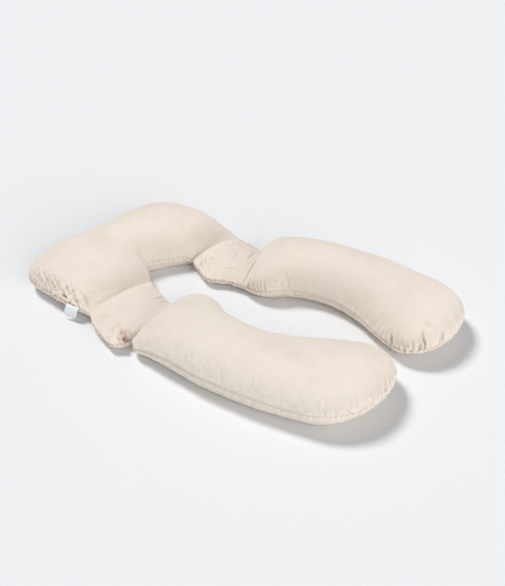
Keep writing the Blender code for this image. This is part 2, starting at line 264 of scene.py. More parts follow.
def armPatches(side, stations, rays, count):
    # straight run: sections square to the arm; rounded end: rays from the crown's last point to the outline
    table, place, span = arms[side + "Rows"], arms[side + "Place"], arms[side + "Span"]
    start, bodyEnd = table[0][0], table[-1][0] - arms["endLength"]
    along = start + (bodyEnd - start) * crowded(stations, arms["crowd"])
    rows = rowsAlong(table, along)
    sway, half, top, seam, tuck, bulge = rows[:, 1:7].T
    widened = [roundRise((along - start) / arms[name]) for name in ("noseOuter", "noseInner")]
    outer = onArm(place, along, span[0] + (sway - half - span[0]) * widened[0])
    inner = onArm(place, along, span[1] + (sway + half - span[1]) * widened[1])
    top = pinched(top, seam, along - start, arms[side + "Pinch"])
    lift = arms[side + "Lift"] * smooth01((along - start) / arms["liftLength"])
    body = bodyPatches(outer, inner, top, seam, tuck, bulge, arms["crown"], along - start, count, lift)

    # outline of the end: along = bodyEnd + endLength * cos^(2/power), offset = half width * sin^(2/power)
    swing = np.linspace(-1, 1, curveSteps)
    power = np.where(swing < 0, *arms[side + "Powers"])
    swing = math.pi / 2 * np.sign(swing) * np.abs(swing) ** arms["rayPower"]
    far = bodyEnd + arms["endLength"] * np.clip(np.cos(swing), 0, 1) ** (2 / power)
    rows = rowsAlong(table, far)
    offset = rows[:, 2] * np.sign(swing) * np.abs(np.sin(swing)) ** (2 / power)
    fine = onArm(place, far, rows[:, 1] + offset)
    walked = runLength(fine)
    even = np.linspace(0, walked[-1], rays)
    edge = np.stack([np.interp(even, walked, fine[:, k]) for k in range(2)], axis=-1)
    edgeSeam = np.interp(even, walked, rows[:, 4])[:, None]
    edgeSeam = edgeSeam + arms[side + "Lift"] * (1 - smooth01(even / walked[-1]))[:, None]
    toTip = ((np.interp(even, walked, far) - bodyEnd) / arms["endLength"])[:, None] ** 2
    middle = (outer[-1:] + inner[-1:]) / 2 * np.ones((rays, 1))
    midway = count // 2
    across = acrossAt(count)[: midway + 1][None]
    plan = middle[:, None] + (edge - middle)[:, None] * across[..., None]
    upperZ = edgeSeam + (top[-1] - edgeSeam) * np.clip(1 - across**2, 0, 1) ** arms["crown"]
    tuck = tuck[-1] + arms["tipTuck"] * toTip
    lowerZ = edgeSeam * (1 - np.minimum((1 - across) / tuck, 1) ** (bulge[-1] + arms["tipBulge"] * toTip))
    lengthOut = body[0]["outline"][-1, 0]
    made = []
    for run, z, upper in ((body[0], upperZ, True), (body[1], lowerZ, False)):
        cap = patch(plan, z, (lengthOut + even)[:, None], 1.0, middle, midway, upper)
        for name in ("points", "cut", "reach"):  # the first and last ray lie on the straight run's last section
            grid = cap[name]
            grid[0], grid[-1] = run[name][-1, : midway + 1], run[name][-1, midway:][::-1]
            if name != "reach":
                grid[:, -1] = run[name][-1, midway]
        made.append(cap)
        total = lengthOut + walked[-1] - run["outline"][-1, -1]
        run["outline"] = np.where(run["outline"] < 0, total + run["outline"], run["outline"])
        run["outline"][0, midway + 1:] = total
    return body + made + [endCap(body, 0, arms["capSteps"])]


# hinge panels

hinges = {
    # inner x, y and outer x, y between the head pad's end and the arm's start
    "frontRows": [(0.490, -0.218, 0.475, -0.490), (0.530, -0.233, 0.545, -0.514),
                  (0.572, -0.246, 0.605, -0.520)],
    "backRows": [(0.519, -0.046, 0.518, 0.200), (0.575, -0.065, 0.560, 0.198),
                 (0.631, -0.036, 0.610, 0.188)],
    "topAt": (0, 0.6, 1), "top": (0.054, 0.054, 0.060),  # place along, crown height
    "seam": 0.028, "gap": 0.0003,  # seam height, clearance from the neighbours
    "fine": (130, 107), "coarse": (44, 61), "capSteps": 4,
    "crowd": [(0.0, 0.08, 0.8), (1.0, 0.08, 0.8)],
    "tuck": 0.25, "bulge": 0.60, "crown": 0.5, "fill": 0.35,
    "frontHead": (0.06, 0.040), "backHead": (0.12, 0.030),  # drop beside the head pad: amount, width
    "frontArm": (0.0, 0.030), "backArm": (0.10, 0.030),  # the same beside the arm
}


def hingePatches(side, stations, count):
    # sections from the head pad's end line to the arm's start line
    head = headPad["rows"][0 if side == "front" else -1]
    place, span = arms[side + "Place"], arms[side + "Span"]
    headInner, headOuter = np.array(head[0:2]), np.array(head[2:4])
    line = (headOuter - headInner) / np.linalg.norm(headOuter - headInner)
    away = np.array([-line[1], line[0]]) * np.sign(-line[1]) * hinges["gap"]
    start = arms[side + "Rows"][0][0]
    endInner, endOuter = onArm(place, np.full(2, start - hinges["gap"]), np.array([span[1], span[0]]))
    rows = [(*(headInner + away), *(headOuter + away)), *hinges[side + "Rows"], (*endInner, *endOuter)]
    rows = rowsEven(rows, crowded(stations, hinges["crowd"]))
    inner, outer = rows[:, 0:2], rows[:, 2:4]
    walked = runLength((inner + outer) / 2)
    full = np.ones(stations)
    seam = full * hinges["seam"]
    top = np.interp(walked / walked[-1], hinges["topAt"], hinges["top"])
    top = pinched(top, seam, walked, hinges[side + "Head"])
    top = pinched(top, seam, walked[-1] - walked, hinges[side + "Arm"])
    made = bodyPatches(outer, inner, top, seam, full * hinges["tuck"], full * hinges["bulge"],
                       hinges["crown"], np.minimum(walked, walked[-1] - walked), count)
    return made + [endCap(made, 0, hinges["capSteps"]), endCap(made, -1, hinges["capSteps"])]


# sewing: patches into one closed cover

sewing = {"stepsPerMetre": 1e5, "shift": 2.0}  # points in one step are one, the shift keeps steps positive


def sew(patches):
    # points that coincide become one; quads are turned so that they face away from the filling
    points = np.concatenate([p["points"].reshape(-1, 3) for p in patches])
    steps = np.round((points + sewing["shift"]) * sewing["stepsPerMetre"]).astype(np.int64)
    key = (steps[:, 0] << 40) | (steps[:, 1] << 20) | steps[:, 2]
    _, whole = np.unique(key, return_inverse=True)
    whole = whole.ravel()
    centre = points.mean(0)
    quads, start = [], 0
    for p in patches:
        n, m = p["points"].shape[:2]
        low = (start + np.arange(n - 1)[:, None] * m + np.arange(m - 1)[None]).ravel()
        quad = np.stack([low, low + m, low + m + 1, low + 1], axis=-1)
        a, b, c, d = (points[quad[:, k]] for k in range(4))
        normal = np.cross(c - a, d - b)
        if p["kind"] == "cap":
            outwards = normal.sum(0) @ (points[quad[:, 0]].mean(0) - centre)
        else:
            outwards = normal[:, 2].sum() * (1 if p["kind"] == "upper" else -1)
        quads.append(quad if outwards > 0 else quad[:, ::-1])
        start += n * m
    cover = {"whole": whole, "size": np.bincount(whole), "loose": np.concatenate(quads)}
    cover["quads"] = whole[cover["loose"]]
    for name in ("points", "outline", "reach", "ends", "upper"):
        cover[name] = gather(cover, [p[name] for p in patches])
    cover["cut"] = np.concatenate([p["cut"].reshape(-1, 2) for p in patches])
    return cover


def gather(cover, grids):
    # mean of the values of the grid points that were sewn into each point
    width = 1 if grids[0].ndim == 2 else grids[0].shape[-1]
    flat = np.concatenate([g.reshape(-1, width) for g in grids])
    means = [np.bincount(cover["whole"], flat[:, k]) / cover["size"] for k in range(width)]
    return means[0] if grids[0].ndim == 2 else np.stack(means, axis=-1)


def pointNormals(points, quads):
    # mean of the normals of the quads round each point, weighted by their area
    a, b, c, d = (points[quads[:, k]] for k in range(4))
    normal = np.cross(c - a, d - b)
    total = np.stack([sum(np.bincount(quads[:, k], normal[:, axis], minlength=len(points)) for k in range(4))
                      for axis in range(3)], axis=-1)
    return total / np.maximum(np.linalg.norm(total, axis=1), 1e-12)[:, None]


def coverMesh(name, points, cover):
    # quads, those at a pole drawn as triangles and those of no area left out
    # the flat cut in metres is the UV map
    quads, loose = cover["quads"], cover["loose"]
    same = np.stack([quads[:, k] == quads[:, (k + 1) % 4] for k in range(4)], axis=-1)
    broken = same.sum(1)
    faces, corners = [quads[broken == 0]], [loose[broken == 0]]
    for k in range(4):
        pick, rest = (broken == 1) & same[:, k], [j for j in range(4) if j != k]
        faces.append(quads[pick][:, rest])
        corners.append(loose[pick][:, rest])
    mesh = bpy.data.meshes.new(name)
    mesh.vertices.add(len(points))
    mesh.vertices.foreach_set("co", points.astype(np.float32).ravel())
    counts = np.concatenate([np.full(len(f), f.shape[1]) for f in faces])
    mesh.loops.add(int(counts.sum()))
    order = np.concatenate([f.ravel() for f in faces])
    mesh.loops.foreach_set("vertex_index", order.astype(np.int32))
    mesh.polygons.add(len(counts))
    mesh.polygons.foreach_set("loop_start", (np.cumsum(counts) - counts).astype(np.int32))
    mesh.polygons.foreach_set("use_smooth", np.ones(len(counts), bool))
    mesh.update(calc_edges=True)
    layer = mesh.uv_layers.new(name="cut")
    order = np.concatenate([c.ravel() for c in corners])
    layer.uv.foreach_set("vector", cover["cut"][order].astype(np.float32).ravel())
    mesh.validate()
    return mesh


# noise

def lattice(i, j, k, seed):
    # repeatable value -1 to 1 for each whole-numbered place, the large odd numbers scatter its bits
    n = (i * 374761393 + j * 668265263 + k * 2147483647 + seed * 1274126177) & 0xFFFFFFFF
    n = ((n ^ (n >> 13)) * 1274126177) & 0xFFFFFFFF
    n = n ^ (n >> 16)
    return (n & 0xFFFF) / 32767.5 - 1


def noise(points, cell, seed):
    # smooth noise -1 to 1: the lattice values round a point, weighted by 6 t^5 - 15 t^4 + 10 t^3 each way
    at = points / cell + 1000  # no place is below zero
    base = np.floor(at).astype(np.int64)
    part = at - base
    part = part * part * part * (part * (part * 6 - 15) + 10)
    total = np.zeros(len(points))
    for dx in (0, 1):
        for dy in (0, 1):
            for dz in (0, 1):
                weight = ((part[:, 0] if dx else 1 - part[:, 0]) * (part[:, 1] if dy else 1 - part[:, 1])
                          * (part[:, 2] if dz else 1 - part[:, 2]))
                total += weight * lattice(base[:, 0] + dx, base[:, 1] + dy, base[:, 2] + dz, seed)
    return total


# settling of the covers: cloth held at its seams, with some cloth to spare, blown up by the filling

settling = {
    "frames": 20, "quality": 6, "mass": 0.3, "pressure": 6.0,
    "bending": 0.08, "tension": 12.0, "shear": 3,
    "hold": 0.10, "travel": 0.012,  # hold everywhere, the furthest that a point may move
    "spare": 0.07, "spareReach": 0.10,  # share of spare cloth at a seam, how far in it reaches
    "rough": 0.0004, "roughCell": 0.011, "roughSeed": 50,  # unevenness that the cloth starts from
    "seamReach": 0.004, "endReach": 0.040, "floorReach": 0.006,  # held near a seam, a sewn end, the floor
    "crownReach": 0.16, "crownHold": 0.6,  # held more where the filling is widest
    "groupSteps": 20,  # steps in which the holds and the spare cloth are given to the cloth
}


def spread(fineCount, coarseCount):
    # matrix that reads a row of coarse values at finer steps, cubic through the four nearest
    place = np.linspace(0, coarseCount - 1, fineCount)
    i = np.clip(np.floor(place).astype(int), 0, coarseCount - 2)
    t = place - i
    weights = (-0.5 * t + t**2 - 0.5 * t**3, 1 - 2.5 * t**2 + 1.5 * t**3,
               0.5 * t + 2 * t**2 - 1.5 * t**3, -0.5 * t**2 + 0.5 * t**3)
    matrix = np.zeros((fineCount, coarseCount))
    for shift, weight in zip((-1, 0, 1, 2), weights):
        np.add.at(matrix, (np.arange(fineCount), np.clip(i + shift, 0, coarseCount - 1)), weight)
    return matrix


def settle(name, coarse, fine, fineCover):
    # runs the cloth on the coarse cover and returns how far each point of the fine cover moved
    # held = the largest of the holds, spare cloth = slack * (1 - smooth(reach / spareReach))
    cover = sew(coarse)
    points = cover["points"]
    s, reach = settling, cover["reach"]
    rough = [noise(points, s["roughCell"], s["roughSeed"] + k) for k in range(3)]
    rough = np.stack(rough, axis=-1) * s["rough"]
    seamHold = np.exp(-(reach / s["seamReach"]) ** 2)
    endHold = 1 - smooth01(cover["ends"] / s["endReach"])
    floorHold = (1 - smooth01(points[:, 2] / s["floorReach"])) * (cover["upper"] < 0.5)
    held = np.maximum.reduce([seamHold, endHold, floorHold, np.full(len(points), s["hold"])])
    held = np.where(reach > s["crownReach"], np.maximum(held, s["crownHold"]), held)
    spare = slackAt(name, cover)[0] * (1 - smooth01(reach / s["spareReach"]))
    mesh = coverMesh(name + "Settling", points + rough * (1 - held)[:, None], cover)
    body = bpy.data.objects.new(name + "Settling", mesh)
    bpy.context.scene.collection.objects.link(body)
    for group, values in (("held", held), ("taut", 1 - spare)):
        made = body.vertex_groups.new(name=group)
        shares = np.round(np.clip(values, 0, 1) * s["groupSteps"]).astype(int)
        for share in np.unique(shares):
            inShare = np.flatnonzero(shares == share).tolist()
            made.add(inShare, float(share / s["groupSteps"]), "REPLACE")
    modifier = body.modifiers.new("settling", "CLOTH")
    modifier.point_cache.frame_start, modifier.point_cache.frame_end = 1, s["frames"]
    modifier.collision_settings.use_collision = False
    fabric = modifier.settings
    fabric.quality, fabric.mass = s["quality"], s["mass"]
    fabric.tension_stiffness = fabric.compression_stiffness = s["tension"]
    fabric.shear_stiffness, fabric.bending_stiffness = s["shear"], s["bending"]
    fabric.use_pressure = True
    fabric.uniform_pressure_force = s["pressure"]
    fabric.vertex_group_mass = "held"
    fabric.pin_stiffness = 1.0
    fabric.vertex_group_shrink = "taut"
    fabric.shrink_min, fabric.shrink_max = -s["spare"], 0.0
    fabric.effector_weights.gravity = 0
    scene = bpy.context.scene
    for number in range(1, s["frames"] + 1):
        scene.frame_set(number)
    seen = body.evaluated_get(bpy.context.evaluated_depsgraph_get())
    moved = np.empty(len(points) * 3, np.float32)
    seen.data.vertices.foreach_get("co", moved)
    moved = moved.reshape(-1, 3) - points
    scene.frame_set(1)
    bpy.data.objects.remove(body)
    bpy.data.meshes.remove(mesh)
    size = np.linalg.norm(moved, axis=1)
    print(name, "settled, points", len(points), "largest move", round(float(size.max()), 4),
          "mean", round(float(size.mean()), 5))
    moved = moved * np.minimum(1, s["travel"] / np.maximum(size, 1e-9))[:, None]
    grids, start = [], 0
    for wide, close in zip(coarse, fine):
        n, m = wide["points"].shape[:2]
        grid = moved[cover["whole"][start:start + n * m]].reshape(n, m, 3)
        start += n * m
        rowWise = np.einsum("ab,bmc->amc", spread(close["points"].shape[0], n), grid)
        grids.append(np.einsum("am,nmc->nac", spread(close["points"].shape[1], m), rowWise))
    return gather(fineCover, grids)


# folds and puckers

foldKinds = {
    # half width, depth, part of the line over which it deepens, part over which it fades out
    "gather": (0.0040, 0.0040, 0.10, 0.60),
    "long": (0.0038, 0.0032, 0.20, 0.60),
    "slit": (0.0034, 0.0055, 0.30, 0.30),
    "soft": (0.0090, 0.0020, 0.30, 0.40),
    "vee": (0.0075, 0.0140, 0.70, 0.10),
    "pucker": (0.0042, 0.0075, 0.10, 0.80),
    "fine": (0.0034, 0.0020, 0.30, 0.40),
    "fold": (0.0048, 0.0026, 0.20, 0.50),
    "deep": (0.0033, 0.0078, 0.08, 0.60),
    "short": (0.0035, 0.0031, 0.10, 0.80),
    "crease": (0.0034, 0.0072, 0.10, 0.35),
}
# every fold, in its half widths: how far it reaches and where the ridge beside it lies
# ridge is that ridge's share of the depth
# startShare is its strength at the start, steps are those of its curve between two points of the table
foldShape = {"reach": 5, "ridgeAt": 2, "ridge": 0.4, "startShare": 0.25, "steps": 5}

# lines of the folds in millimetres from the pillow's middle, each from its deep end
folds = {
    "headPad": {
        "gather": [
            [(-547, -381, 68), (-562, -376, 75), (-590, -366, 81)],
            [(-527, -383, 64), (-533, -381, 68), (-562, -366, 88), (-579, -353, 98)],
            [(-489, -383, 64), (-496, -379, 71), (-527, -368, 87), (-553, -353, 103)],
            [(-465, -382, 67), (-476, -377, 74), (-502, -369, 86), (-531, -355, 102)],
            [(-442, -380, 67), (-451, -376, 74), (-485, -362, 92), (-506, -352, 103)],
            [(-415, -385, 56), (-422, -381, 63), (-454, -368, 83), (-477, -353, 100)],
            [(-399, -374, 67), (-410, -370, 74), (-428, -363, 83), (-448, -351, 98)],
            [(-369, -377, 55), (-375, -376, 59), (-406, -357, 83), (-428, -344, 98)],
            [(-354, -379, 46), (-359, -377, 51), (-388, -364, 73), (-405, -354, 85)],
        ],
        "long": [
            [(-311, -365, 36), (-334, -357, 50), (-353, -353, 64), (-377, -349, 79), (-397, -347, 87)],
            [(-326, -354, 47), (-347, -349, 62), (-361, -345, 74), (-380, -339, 86)],
        ],
        "slit": [[(-430, -382, 63), (-416, -383, 60), (-393, -383, 55)]],
        "soft": [
            [(-317, -345, 46), (-309, -316, 48), (-302, -277, 49),
             (-300, -255, 50), (-305, -194, 56), (-304, -146, 54)],
        ],
    },
    "frontHinge": {
        "vee": [[(-159, -374, 51), (-133, -387, 49), (-118, -393, 40), (-112, -388, 24)]],
        "crease": [
            [(-114, -393, 30), (-124, -405, 40), (-142, -412, 43)],
            [(-114, -396, 26), (-119, -410, 31), (-128, -420, 36)],
            [(-120, -395, 41), (-134, -391, 48), (-149, -383, 50)],
            [(-115, -388, 15), (-119, -402, 18), (-124, -419, 25)],
        ],
        "pucker": [[(-129, -388, 47), (-137, -370, 52), (-158, -346, 54)]],
        "soft": [
            [(-261, -380, 42), (-248, -360, 48), (-215, -359, 49)],
            [(-187, -403, 43), (-176, -378, 48), (-182, -335, 53)],
        ],
    },
    "backHinge": {
        "fine": [
            [(-259, 227, 49), (-236, 205, 53), (-218, 185, 54)],
            [(-235, 243, 49), (-201, 206, 52)],
            [(-226, 256, 46), (-185, 213, 51)],
            [(-235, 223, 51), (-205, 192, 53)],
            [(-261, 98, 46), (-229, 66, 42), (-204, 40, 35)],
            [(-247, 101, 48), (-209, 64, 44)],
            [(-209, 81, 48), (-181, 50, 43)],
            [(-226, 111, 51), (-198, 87, 49)],
            [(-145, 79, 49), (-122, 94, 51), (-98, 108, 53)],
            [(-232, 135, 53), (-222, 151, 54), (-204, 155, 54)],
            [(-144, 128, 54), (-158, 167, 54), (-176, 192, 53)],
            [(-156, 225, 50), (-181, 230, 49), (-207, 250, 47)],
        ],
        "fold": [[(-120, 224, 53), (-118, 201, 56), (-109, 174, 58), (-133, 171, 56)]],
    },
    "frontArm": {
        "deep": [
            [(652, -137, 87), (645, -124, 96), (636, -125, 109)],
            [(612, -237, 34), (628, -258, 71), (628, -255, 83)],
        ],
        "short": [
            [(607, -253, 37), (617, -273, 79)],
            [(605, -275, 51), (607, -284, 83)],
            [(653, -169, 87), (643, -165, 104)],
            [(653, -153, 88), (645, -149, 102)],
            [(646, -216, 68), (642, -220, 88)],
            [(637, -228, 61), (637, -235, 87)],
            [(652, -195, 78), (646, -194, 95)],
            [(644, -98, 89), (634, -89, 101)],
            [(636, -70, 90), (625, -62, 100)],
        ],
        "pucker": [
            [(-89, -394, 36), (-84, -398, 37), (-57, -408, 53)],
            [(-93, -388, 38), (-95, -383, 41), (-98, -371, 46)],
        ],
        "fine": [
            [(-93, -388, 38), (-97, -375, 44), (-99, -365, 48)],
            [(-63, -405, 54), (-62, -396, 65), (-75, -377, 66)],
        ],
    },
    "backArm": {
        "gather": [[(-11, 60, 42), (-16, 65, 55), (-60, 120, 51)]],
        "fine": [
            [(-35, 69, 41), (-52, 99, 47), (-60, 120, 51)],
            [(5, 59, 41), (-2, 64, 59), (-18, 87, 83)],
            [(15, 61, 41), (9, 68, 70), (-2, 83, 87)],
            [(28, 63, 43), (20, 69, 71), (10, 81, 90)],
            [(39, 67, 43), (34, 69, 65), (21, 84, 93)],
            [(49, 74, 41), (45, 74, 66), (35, 84, 91)],
        ],
        "deep": [
            [(620, 130, 56), (617, 133, 77), (610, 134, 88), (599, 143, 105), (591, 146, 113)],
            [(647, 180, 60), (643, 190, 84), (637, 191, 95), (627, 184, 105)],
            [(530, 93, 55), (525, 98, 71), (517, 108, 88)],
        ],
        "short": [
            [(609, 118, 56), (606, 121, 74), (600, 128, 92)],
            [(594, 106, 61), (588, 111, 82)],
            [(579, 99, 64), (573, 105, 83)],
            [(653, 248, 71), (646, 254, 89), (637, 267, 101)],
            [(640, 274, 96), (633, 284, 103), (623, 291, 113)],
            [(638, 303, 89), (629, 312, 100)],
            [(632, 147, 57), (626, 146, 78)],
            [(640, 162, 59), (634, 161, 79)],
            [(652, 208, 66), (649, 212, 80)],
        ],
        "soft": [
            [(591, 163, 122), (602, 172, 120), (619, 177, 109)],
            [(555, 95, 68), (567, 96, 67), (581, 100, 64)],
        ],
    },
}


def folded(points, name):
    # each fold: strength * (ridge * exp(-(d / w - ridgeAt)^2) - exp(-(d / w)^2)) at distance d from its line
    # strength = depth * smooth(along / rise + startShare) * smooth((1 - along) / fade)
    shape = foldShape
    height = np.zeros(len(points))
    for kind, lines in folds[name].items():
        width, depth, rise, fade = foldKinds[kind]
        for line in lines:
            places = np.linspace(0, 1, shape["steps"] * (len(line) - 1) + 1)
            line = rowsEven(np.array(line) / 1000, places)
            reach = shape["reach"] * width
            inside = (points > line.min(0) - reach) & (points < line.max(0) + reach)
            near = np.flatnonzero(inside.all(1))
            start, step = line[:-1], np.diff(line, axis=0)
            offset = points[near][:, None] - start
            part = np.clip((offset * step).sum(-1) / (step**2).sum(-1), 0, 1)
            away = np.linalg.norm(offset - part[..., None] * step, axis=-1)
            first = away.argmin(1)
            each = np.arange(len(near))
            along, away = (first + part[each, first]) / len(step), away[each, first]
            strength = depth * smooth01(along / rise + shape["startShare"]) * smooth01((1 - along) / fade)
            ridge = shape["ridge"] * np.exp(-((away - shape["ridgeAt"] * width) / width) ** 2)
            height[near] += strength * (ridge - np.exp(-(away / width) ** 2))
    return height


needlework = {
    # seam: the cloth is drawn in along it, with a low shoulder beside it
    "valleyDepth": 0.0024, "valleyWidth": 0.0042,
    "shoulder": 0.0010, "shoulderAt": 0.010, "shoulderWidth": 0.006,
    # puckers across the seam, their wavering and their slant
    "puckerPitch": 0.017, "puckerDepth": 0.0009, "puckerReach": 0.014,
    "waver": 1.6, "waverCell": 0.05, "slant": 25,
    # soft lumps of the filling: size, height, and how far from the seam they begin
    "lumps": [(0.080, 0.0008), (0.034, 0.0005), (0.015, 0.00022)], "lumpReach": 0.03,
    # crumpling of the spare cloth by the seam: two cell sizes, share of the second, lean inwards, fading
    "crumpleCells": (0.010, 0.0055), "crumpleShare": 0.6, "crumpleSquash": (1, 1, 0.6),
    "crumpleBias": 0.25, "crumpleFrom": 0.012, "crumpleFade": 0.016,
    "endFade": 0.006, "floorFade": 0.012, "fullShadeDepth": 0.004,  # no relief at a sewn end or the floor, crease depth at which the painted shade is darkest
}

# place along the outline, share of cloth to spare, strength of the puckers, height of the crumpling by the seam
slack = {
    "headPad": [
        (-0.40, 0.15, 0.8, 0.0), (-0.02, 0.2, 1.0, 0.0), (0.03, 0.55, 1.0, 0.0006),
        (0.07, 0.9, 1.2, 0.0018), (0.13, 1.0, 1.2, 0.0024), (0.27, 1.0, 1.2, 0.0022),
        (0.34, 0.6, 1.0, 0.0008), (0.45, 0.3, 0.8, 0.0), (1.40, 0.3, 0.8, 0.0),
    ],
    "frontHinge": [
        (-0.30, 0.4, 0.8, 0.0004), (0.10, 0.5, 1.0, 0.0006),
        (0.20, 1.0, 1.6, 0.0022), (0.30, 1.0, 1.6, 0.0022),
    ],
    "backHinge": [(-0.30, 0.6, 1.0, 0.0006), (0.30, 0.6, 1.0, 0.0006)],
    "frontArm": [
        (0.00, 0.5, 1.6, 0.0010), (0.12, 0.2, 0.3, 0.0), (0.70, 0.15, 0.3, 0.0),
        (0.80, 0.5, 1.5, 0.0010), (0.95, 0.6, 1.8, 0.0012), (1.10, 0.4, 1.4, 0.0004),
        (1.22, 0.15, 0.4, 0.0), (2.00, 0.2, 0.4, 0.0),
    ],
    "backArm": [
        (0.00, 0.3, 0.4, 0.0), (0.70, 0.15, 0.4, 0.0), (0.85, 0.4, 1.4, 0.0006),
        (1.00, 0.6, 1.8, 0.0012), (1.18, 0.6, 1.8, 0.0012), (1.27, 0.2, 0.5, 0.0),
        (1.62, 0.15, 0.3, 0.0), (1.73, 0.7, 1.2, 0.0012), (1.85, 0.8, 1.4, 0.0012),
    ],
}


def slackAt(name, cover):
    # straight lines between the rows of the table, one value a point for each column
    table = np.array(slack[name])
    return [np.interp(cover["outline"], table[:, 0], table[:, k]) for k in (1, 2, 3)]


def worked(name, cover, points):
    # height added along the normals: lumps + seam valley and shoulder + puckers + crumpling + folds
    n, reach = needlework, cover["reach"]
    _, puckering, crumpling = slackAt(name, cover)
    seed = 7 * len(name)  # first of the piece's seeds
    height = sum(high * noise(points, size, seed + k) for k, (size, high) in enumerate(n["lumps"]))
    height = height * smooth01(reach / n["lumpReach"])
    height -= n["valleyDepth"] * np.exp(-(reach / n["valleyWidth"]) ** 2)
    height += n["shoulder"] * np.exp(-((reach - n["shoulderAt"]) / n["shoulderWidth"]) ** 2)
    alongOnly = np.stack([cover["outline"], 0 * reach, 0 * reach], axis=-1)
    waver = n["waver"] * noise(alongOnly, n["waverCell"], seed + 9)
    ripple = np.cos(2 * math.pi * cover["outline"] / n["puckerPitch"] + 2 * waver + n["slant"] * reach)
    height += puckering * n["puckerDepth"] * ripple * np.exp(-(reach / n["puckerReach"]) ** 2)
    wide, narrow = n["crumpleCells"]
    crumple = (noise(points * np.array(n["crumpleSquash"]), wide, seed + 5)
               + n["crumpleShare"] * noise(points, narrow, seed + 6) - n["crumpleBias"])
    height += crumpling * crumple * (1 - smooth01((reach - n["crumpleFrom"]) / n["crumpleFade"]))
    return height + folded(cover["points"], name) * (cover["upper"] > 0.1)  # none on the underside


# pieces

def dressed(piece, cadNode):
    # puts a piece in the scene, in the place of its CAD node
    bpy.context.scene.collection.objects.link(piece)
    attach(piece, "root")
    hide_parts(cadNode)
    return piece


def paddedPiece(name, make, sizes, cadNode, material):
    # sewn cover + how far the cloth settled + worked height along the normals, never below the floor
    fine = make(*sizes["fine"])
    cover = sew(fine)
    points = cover["points"]
    points = points + settle(name, make(*sizes["coarse"]), fine, cover)
    normals = pointNormals(points, cover["quads"])
    height = worked(name, cover, points) * smooth01(cover["ends"] / needlework["endFade"])
    lowered = height * smooth01(points[:, 2] / needlework["floorFade"])
    height = np.where(cover["upper"] > 0.5, height, lowered)
    points = points + normals * height[:, None]
    points[:, 2] = np.maximum(points[:, 2], 0)
    mesh = coverMesh(name, points, cover)
    # painted shade: the deeper a crease, the darker its colour is painted
    paintedCreaseShade = np.clip(-height / needlework["fullShadeDepth"], 0, 1)
    for kind, values in (("paintedCreaseShade", paintedCreaseShade), ("reach", cover["reach"]), ("outline", cover["outline"])):
        attribute = mesh.attributes.new(kind, "FLOAT", "POINT")
        attribute.data.foreach_set("value", values.astype(np.float32))
    mesh.materials.append(material)
    piece = dressed(bpy.data.objects.new(name, mesh), cadNode)
    print(name, len(mesh.polygons), "faces")
    return piece


# materials

def startMaterial(name):
    # a new material with its node tree and its shader
    material = bpy.data.materials.new(name)
    material.use_nodes = True
    return material, material.node_tree, material.node_tree.nodes["Principled BSDF"]


def setSockets(shader, values):
    # constants on the shader's own sockets
    for key, value in values.items():
        shader.inputs[key].default_value = value


def node(tree, kind, **settings):
    # one shader node, its settings named after its properties or its sockets
    made = tree.nodes.new("ShaderNode" + kind)
    for key, value in settings.items():
        if hasattr(made, key):
            setattr(made, key, value)
        else:
            made.inputs[key].default_value = value
    return made


def feed(tree, socket, value):
    # a socket gets a link from another socket, or a number or colour
    if isinstance(value, bpy.types.NodeSocket):
        tree.links.new(value, socket)
    else:
        socket.default_value = value


def maths(tree, operation, a, b=0.5, c=0.5):
    # the operation on a, b and c, such as a * b + c for MULTIPLY_ADD
    made = node(tree, "Math", operation=operation)
    for socket, value in zip(made.inputs, (a, b, c)):
        feed(tree, socket, value)
    return made.outputs[0]


def blend(tree, factor, a, b, kind="MIX"):
    # colour a * (1 - factor) + b * factor, or a * b where the kind is MULTIPLY and the factor 1
    made = node(tree, "Mix", data_type="RGBA", blend_type=kind)
    for place, value in ((0, factor), (6, a), (7, b)):  # the sockets of a colour mix
        feed(tree, made.inputs[place], value)
    return made.outputs[2]


bandScale = 0.314  # the wave texture repeats every bandScale / scale metres

jersey = {
    "base": (0.830, 0.748, 0.660, 1), "rosy": (0.830, 0.730, 0.650, 1), "straw": (0.820, 0.750, 0.650, 1),
    # deep is the painted shade colour of the crease bottoms
    "dot": (0.915, 0.865, 0.805, 1), "deep": (0.600, 0.430, 0.330, 1), "thread": (0.87, 0.80, 0.71, 1),
    # blotches: size of the warm ones, scale of the yellow ones
    # a range is what a texture is multiplied by, and what is added
    "mottle": 0.045, "mottleRange": (2.6, -0.9), "wide": 5.5, "wideRange": (2.0, -0.7),
    "dotPitch": 0.0170, "dotScatter": 0.42, "dotRange": (-5.0, 1.75), "dotShare": 0.24,  # pale woven-in dots
    "melange": 0.0016, "grainRange": (0.36, 0.82), "paintedShadeShare": 0.55,  # grain, painted shade in the creases
    # stitches: distance from the seam and half width of their line, length of a stitch with its gap
    "stitchAt": 0.0030, "stitchHalf": 0.0006, "stitchPitch": 0.0045, "stitchLength": 0.68, "stitchShare": 0.3,
    "knit": 0.0026, "rowShare": 0.7, "waviness": 0.6,  # distance between wales, rows to wales, distortion
    "grainRelief": 0.8, "stitchRelief": 0.8, "dotRelief": 0.5, "bump": 0.35, "bumpHeight": 0.0005,
    "shader": {"Roughness": 0.92, "Specular IOR Level": 0.25, "Sheen Weight": 0.22,
               "Sheen Roughness": 0.55, "Sheen Tint": (1.0, 0.95, 0.90, 1)},
}


